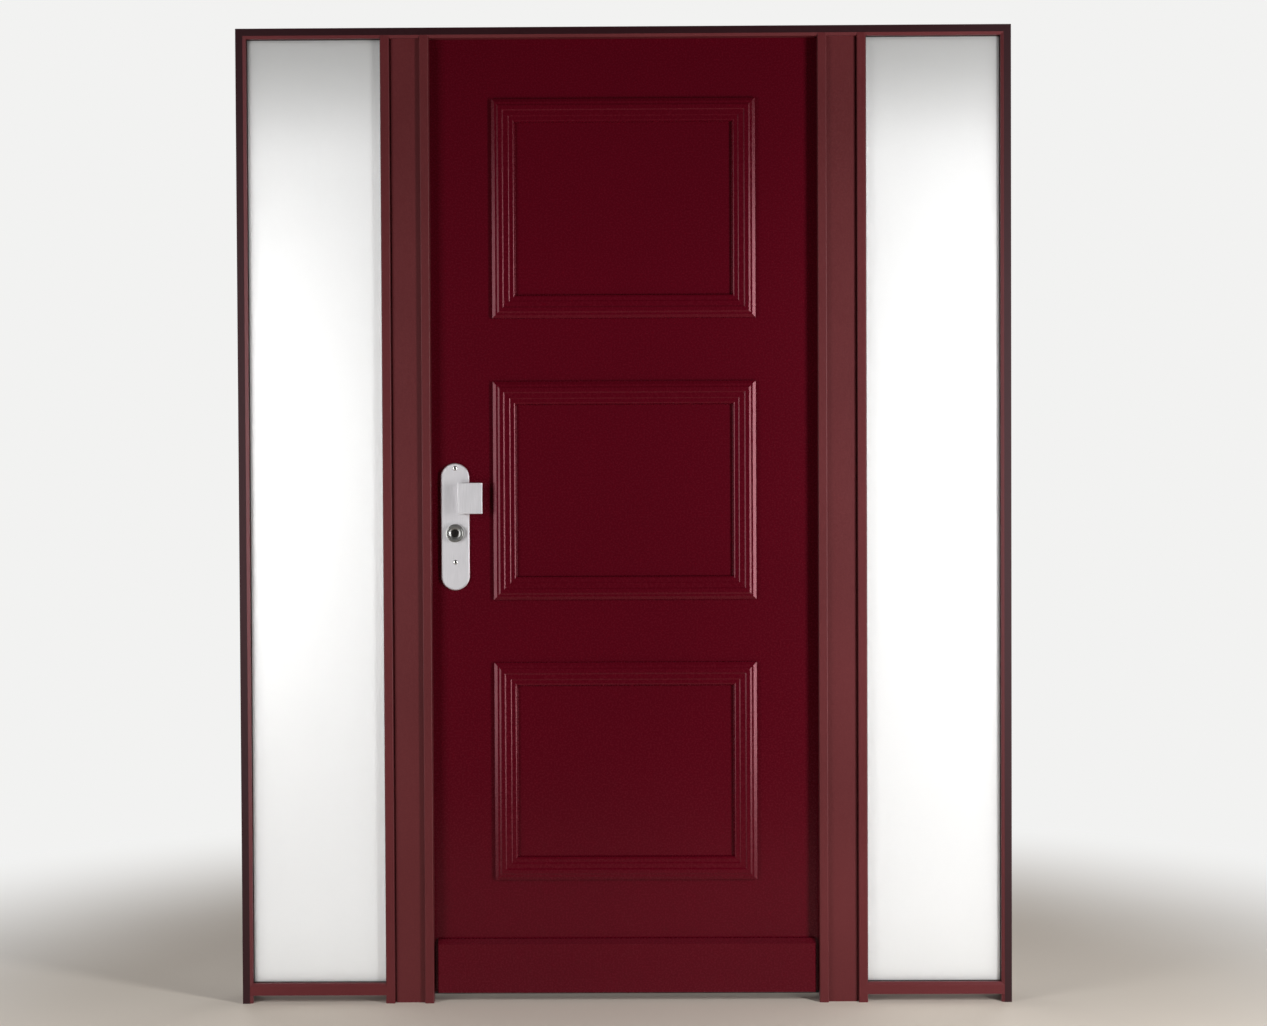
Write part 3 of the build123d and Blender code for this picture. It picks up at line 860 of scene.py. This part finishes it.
@dataclass
class TurnedGuard(SteppedRing):
    """The turned ring round the lock cylinder, with its bevel, groove and dished middle."""

    label: str = "TurnedGuard"
    slot: str = "satin_steel"
    finish: str = "turned_ring"
    nodes: tuple[str, ...] = ("cylinder_guard",)
    band_mm: float = 11.2
    samples: int = 96
    turns: int = 96
    steps: tuple[Step, ...] = (
        Step(0.0, 0.2, 8.6),
        Step(0.2, 1.7, 0.4),
        Step(1.7, 2.4, 1.4),
        Step(2.4, 3.4, 0.6, Flank.ROUNDED),
        Step(5.4, 6.0, -1.0),
        Step(7.6, 10.6, -1.4),
        Step(10.8, 11.2, -8.6),
    )

    def spread(self, tree: Tree, given: Node, along: Socket,
               inset: Socket) -> tuple[Socket, Socket]:
        """Runs the strip round a circle.

        Args:
            tree: The geometry node tree.
            given: Input node with the ring's outer width.
            along: Place along the ring, from -0.5 to 0.5.
            inset: Distance from the outer edge, in metres.

        Returns:
            Sockets with the places across and up, from the circle's centre.
        """
        angle = calculate(tree, "MULTIPLY", along, math.tau)
        half = calculate(tree, "MULTIPLY", given.outputs["Width"], 0.5)
        radius = calculate(tree, "SUBTRACT", half, inset)
        return tuple(
            calculate(tree, "MULTIPLY", radius, calculate(tree, way, angle))
            for way in ("COSINE", "SINE")
        )


@dataclass(frozen=True)
class Head:
    """Size of a screw's head in millimetres: its width, and how far it stands out."""

    width_mm: float
    rise_mm: float


@dataclass
class ScrewSet:
    """Low domed screws with a six-sided recess, of one size and facing one way."""

    name: str
    body: str
    slot: str
    facing: Facing
    places: list[Vector]
    head: Head
    finish: str = ""

    def seed(self) -> bpy.types.Mesh:
        """Makes a mesh of bare points where the screws sit.

        Returns:
            The mesh.
        """
        mesh = bpy.data.meshes.new(f"{self.name}_points")
        mesh.from_pydata([tuple(place) for place in self.places], [], [])
        return mesh

    def build(self, tree: Tree, finishes: Finishes) -> None:
        """Grows the screws and sets them on their body.

        Args:
            tree: Tree that makes a screw head on each point.
            finishes: The finishes of the door set.
        """
        piece = grow(self.name, self.seed(), tree, {
            "Radius": self.head.width_mm * MM / 2, "Rise": self.head.rise_mm * MM,
            "Facing": self.facing.value, "Material": finishes.of(self.finish or self.slot)})
        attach(piece, self.body)
        LOG.info("%s has %d screws", self.name, len(self.places))


def screw_tree(recess_share: float = 0.4, recess_lift: float = 0.9) -> Tree:
    """Builds the tree that puts a low domed head with a hexagonal recess on each point.

    Args:
        recess_share: Radius of the recess as a share of the head's radius.
        recess_lift: How far the cutter of the recess is lifted, as a share of the rise.

    Returns:
        The geometry node tree.
    """
    tree, given = new_tree("ScrewHeads", {
        "Radius": "NodeSocketFloat", "Rise": "NodeSocketFloat",
        "Facing": "NodeSocketVector", "Material": "NodeSocketMaterial"})
    radius, rise = given.outputs["Radius"], given.outputs["Rise"]
    ball = add_node(tree, "GeometryNodeMeshUVSphere", {
        "Segments": 32, "Rings": 16, "Radius": radius})
    squeeze = add_node(tree, "ShaderNodeCombineXYZ", {
        "X": 1.0, "Y": 1.0, "Z": calculate(tree, "DIVIDE", rise, radius)})
    dome = add_node(tree, "GeometryNodeTransform", {
        "Geometry": ball.outputs["Mesh"], "Scale": squeeze.outputs["Vector"]})
    recess = add_node(tree, "GeometryNodeMeshCylinder", {
        "Vertices": 6, "Radius": calculate(tree, "MULTIPLY", radius, recess_share),
        "Depth": rise})
    lift = add_node(tree, "ShaderNodeCombineXYZ", {
        "Z": calculate(tree, "MULTIPLY", rise, recess_lift)})
    raised = add_node(tree, "GeometryNodeTransform", {
        "Geometry": recess.outputs["Mesh"], "Translation": lift.outputs["Vector"]})
    cut = add_node(tree, "GeometryNodeMeshBoolean", {
        "Mesh 1": dome.outputs["Geometry"], "Mesh 2": raised.outputs["Geometry"]},
        operation="DIFFERENCE", solver="EXACT")
    turned = add_node(tree, "FunctionNodeEulerToRotation", {"Euler": given.outputs["Facing"]})
    spread = add_node(tree, "GeometryNodeInstanceOnPoints", {
        "Points": given.outputs["Geometry"], "Instance": soften(tree, cut.outputs["Mesh"]),
        "Rotation": turned.outputs["Rotation"]})
    end_tree(tree, spread.outputs["Instances"], given.outputs["Material"])
    return tree


@dataclass
class Fixings:
    """All small screws that show, placed from the plates that they hold."""

    finishes: Finishes
    plate_head: Head = Head(10.4, 2.4)
    plate_top_inset_mm: float = 11.0
    plate_low_inset_mm: float = 62.0
    hinge_head: Head = Head(9.0, 1.2)
    flag_inset_mm: float = 11.0
    flag_thickness_mm: float = 4.0
    flag_height_mm: float = 55.0
    flag_shares: Span = (0.25, 0.75)
    lock_head: Head = Head(8.0, 0.5)
    edge_plate_inset_mm: float = 16.0
    bead_head: Head = Head(5.0, 0.5)
    bead_inset_mm: float = 4.0
    bead_spacing_mm: float = 345.0

    def plate_screws(self) -> list[ScrewSet]:
        """Places two screws on each long plate.

        Returns:
            The screw sets of the outer and inner plates.
        """
        sets = []
        for node, facing in (
            ("outer_escutcheon", Facing.OUTDOORS),
            ("inner_escutcheon", Facing.INDOORS),
        ):
            low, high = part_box(node)
            middle = (low.x + high.x) / 2
            face = low.y if facing is Facing.OUTDOORS else high.y
            places = [
                Vector((middle, face, high.z - self.plate_top_inset_mm * MM)),
                Vector((middle, face, low.z + self.plate_low_inset_mm * MM)),
            ]
            sets.append(ScrewSet(f"{node}_screws", LEAF_BODY, "satin_steel", facing, places,
                                 self.plate_head, "polished_screw"))
        return sets

    def hinge_screws(self) -> list[ScrewSet]:
        """Places two screws on each flag of each hinge.

        Returns:
            One screw set for each body.
        """
        sets = []
        inset = self.flag_inset_mm * MM
        reach = self.flag_height_mm * MM
        for half, body in (("frame", FRAME_BODY), ("leaf", LEAF_BODY)):
            places = []
            for height in ("bottom", "middle", "top"):
                low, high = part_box(f"{height}_hinge_{half}_half")
                x = high.x - inset if half == "frame" else low.x + inset
                face = low.y + self.flag_thickness_mm * MM
                base = low.z if half == "frame" else high.z - reach
                places += [Vector((x, face, base + reach * share)) for share in self.flag_shares]
            sets.append(ScrewSet(f"hinge_{half}_screws", body, "hinge_steel", Facing.INDOORS,
                                 places, self.hinge_head))
        return sets

    def lock_screws(self) -> list[ScrewSet]:
        """Places screws at both ends of the edge plate and of the strike plate.

        Returns:
            One screw set for each plate.
        """
        sets = []
        inset = self.edge_plate_inset_mm * MM
        for node, body, facing in (
            ("lock_face_plate", LEAF_BODY, Facing.LOCK_SIDE),
            ("strike_plate", FRAME_BODY, Facing.HINGE_SIDE),
        ):
            low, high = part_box(node)
            x = low.x if facing is Facing.LOCK_SIDE else high.x
            y = (low.y + high.y) / 2
            places = [Vector((x, y, low.z + inset)), Vector((x, y, high.z - inset))]
            sets.append(ScrewSet(f"{node}_screws", body, "lock_steel", facing, places,
                                 self.lock_head))
        return sets

    def bead_screws(self) -> list[ScrewSet]:
        """Places small screws along the upright glazing beads, indoors.

        Returns:
            One screw set for each side light.
        """
        sets = []
        inset = self.bead_inset_mm * MM
        for side in ("left", "right"):
            low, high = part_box(f"{side}_glazing_bead")
            count = round((high.z - low.z) / (self.bead_spacing_mm * MM))
            step = (high.z - low.z) / count
            places = [
                Vector((x, high.y, low.z + step * (n + 0.5)))
                for x in (low.x + inset, high.x - inset)
                for n in range(count)
            ]
            sets.append(ScrewSet(f"{side}_bead_screws", FRAME_BODY, "frame_paint",
                                 Facing.INDOORS, places, self.bead_head))
        return sets

    def build(self) -> None:
        """Grows all the screws from one tree."""
        tree = screw_tree()
        for place_all in (self.plate_screws, self.hinge_screws, self.lock_screws,
                          self.bead_screws):
            for screws in place_all():
                screws.build(tree, self.finishes)


@dataclass(frozen=True)
class SoftBox:
    """One soft lamp of the studio, with its place and size in metres."""

    name: str
    place: Size
    size: Span
    watts: float


@dataclass
class Studio:
    """Pale floor, soft lamps, plain surroundings and the camera."""

    target: Vector = field(default_factory=lambda: Vector((0.847, 0.0, 1.07)))
    floor_code: str = "e4d9cc"
    wall_code: str = "f2f2f1"
    ambient: float = 0.1
    front_gloom: float = 0.03
    gloom_reach: Span = (-0.5, 0.2)
    mirrored_haze: float = 0.35
    mirrored_share: float = 0.6
    floor_size: float = 30.0
    floor_fade: Span = (1.1, 2.6)
    floor_roughness: Span = (0.75, 0.9)
    floor_repeats: float = 3.0
    floor_detail: float = 3.0
    camera_place: Size = (0.9048, -4.7, 1.1710)
    camera_yaw: float = 0.00825
    camera_pitch: float = -0.01971
    camera_roll: float = 0.00454
    camera_lens: float = 60.27
    camera_sensor: float = 36.0
    camera_reach: float = 200.0
    lamps: tuple[SoftBox, ...] = (
        SoftBox("right_strip_lamp", (2.85, -1.85, 1.1), (0.47, 1.9), 68.0),
        SoftBox("left_strip_lamp", (-1.15, -1.85, 1.1), (0.95, 1.9), 36.0),
        SoftBox("right_inner_softbox", (3.0, 3.2, 1.25), (1.4, 1.6), 26.0),
        SoftBox("left_inner_softbox", (-1.3, 3.2, 1.25), (1.4, 1.6), 26.0),
    )

    def pale_strength(self, tree: Tree, depth: Socket) -> Socket:
        """Finds the strength of the pale backdrop for each kind of ray.

        The camera sees it whole. Reflections and light through the panes see it dimmer on the
        side in front of the door, and bounced light gets little of it.

        Args:
            tree: Shader tree of the floor or of the world.
            depth: How far behind the door the shaded spot or direction lies.

        Returns:
            The socket with the strength.
        """
        ray = add_node(tree, "ShaderNodeLightPath")
        graded = remap(tree, depth, self.gloom_reach, (self.front_gloom, 1.0), Flank.ROUNDED)
        dimmed = calculate(tree, "MULTIPLY", graded, self.mirrored_share)
        strength = self.ambient
        for kind, value in (
            ("Is Glossy Ray", dimmed),
            ("Is Transmission Ray", graded),
            ("Is Camera Ray", 1.0),
        ):
            strength = add_node(tree, "ShaderNodeMix", {
                "Factor": ray.outputs[kind], "A": strength, "B": value}).outputs[0]
        return strength

    def floor_material(self) -> bpy.types.Material:
        """Builds the matt floor, which runs into the plain backdrop away from the door.

        Returns:
            The material.
        """
        material = node_material("matt_floor")
        tree = material.node_tree
        place = object_place(tree)
        away = add_node(tree, "ShaderNodeVectorMath", {
            0: place, 1: (self.target.x, 0.0, 0.0)}, operation="DISTANCE").outputs["Value"]
        grain = noise(tree, (self.floor_repeats,) * 3, self.floor_detail)
        matt = add_node(tree, "ShaderNodeBsdfPrincipled", {
            "Base Color": linear(self.floor_code),
            "Roughness": remap(tree, grain, (0.0, 1.0), self.floor_roughness)})
        pale = add_node(tree, "ShaderNodeEmission", {
            "Color": linear(self.wall_code),
            "Strength": self.pale_strength(tree, parts_of(tree, place)["Y"])})
        ray = add_node(tree, "ShaderNodeLightPath")
        mirrored = calculate(tree, "MULTIPLY", ray.outputs["Is Glossy Ray"], self.mirrored_haze)
        indirect = calculate(tree, "MAXIMUM", mirrored, ray.outputs["Is Transmission Ray"])
        fade = remap(tree, away, self.floor_fade, flank=Flank.ROUNDED)
        joined = add_node(tree, "ShaderNodeMixShader", {
            0: calculate(tree, "MAXIMUM", fade, indirect),
            1: matt.outputs["BSDF"], 2: pale.outputs["Emission"]})
        add_node(tree, "ShaderNodeOutputMaterial", {"Surface": joined.outputs[0]})
        return material

    def floor(self) -> None:
        """Lays a wide flat floor under the door."""
        reach = self.floor_size
        corners = [(-reach, -reach, 0), (reach, -reach, 0), (reach, reach, 0), (-reach, reach, 0)]
        mesh = bpy.data.meshes.new("studio_floor")
        mesh.from_pydata(corners, [], [(0, 1, 2, 3)])
        mesh.materials.append(self.floor_material())
        slab = bpy.data.objects.new("studio_floor", mesh)
        bpy.context.scene.collection.objects.link(slab)

    def surroundings(self) -> None:
        """Sets a plain pale world."""
        world = bpy.data.worlds.new("studio")
        world.use_nodes = True
        tree = world.node_tree
        tree.nodes.clear()
        way = parts_of(tree, add_node(tree, "ShaderNodeTexCoord").outputs["Generated"])
        shown = add_node(tree, "ShaderNodeBackground", {
            "Color": linear(self.wall_code), "Strength": self.pale_strength(tree, way["Y"])})
        add_node(tree, "ShaderNodeOutputWorld", {"Surface": shown.outputs[0]})
        bpy.context.scene.world = world

    def lights(self) -> None:
        """Hangs the soft lamps, all turned to the middle of the door."""
        for lamp in self.lamps:
            data = bpy.data.lights.new(lamp.name, "AREA")
            data.shape = "RECTANGLE"
            data.size, data.size_y = lamp.size
            data.energy = lamp.watts
            box = bpy.data.objects.new(lamp.name, data)
            box.location = lamp.place
            aim = self.target - Vector(lamp.place)
            box.rotation_euler = aim.to_track_quat("-Z", "Y").to_euler()
            box.visible_camera = False
            bpy.context.scene.collection.objects.link(box)

    def camera(self) -> None:
        """Puts the camera where the picture was taken from."""
        data = bpy.data.cameras.new("camera")
        data.sensor_width = self.camera_sensor
        data.lens = self.camera_lens
        data.clip_end = self.camera_reach
        eye = bpy.data.objects.new("camera", data)
        turn = (
            Matrix.Rotation(self.camera_yaw, 4, "Z")
            @ Matrix.Rotation(self.camera_pitch, 4, "X")
            @ Matrix.Rotation(self.camera_roll, 4, "Y")
            @ Matrix.Rotation(math.pi / 2, 4, "X")
        )
        eye.matrix_world = Matrix.Translation(Vector(self.camera_place)) @ turn
        bpy.context.scene.collection.objects.link(eye)
        bpy.context.scene.camera = eye

    def build(self) -> None:
        """Sets up the whole studio."""
        self.floor()
        self.surroundings()
        self.lights()
        self.camera()
        bpy.context.scene.view_settings.view_transform = "Standard"


def main() -> None:
    """Builds the studio, the finishes and every added piece in order."""
    logging.basicConfig(level=logging.INFO, format="%(name)s: %(message)s")
    Studio().build()
    finishes = Finishes()
    dress_cad_nodes(finishes)
    RaisedMouldings(finishes).build()
    TurnedGuard(finishes).build()
    Fixings(finishes).build()


if __name__ == "__main__":
    main()
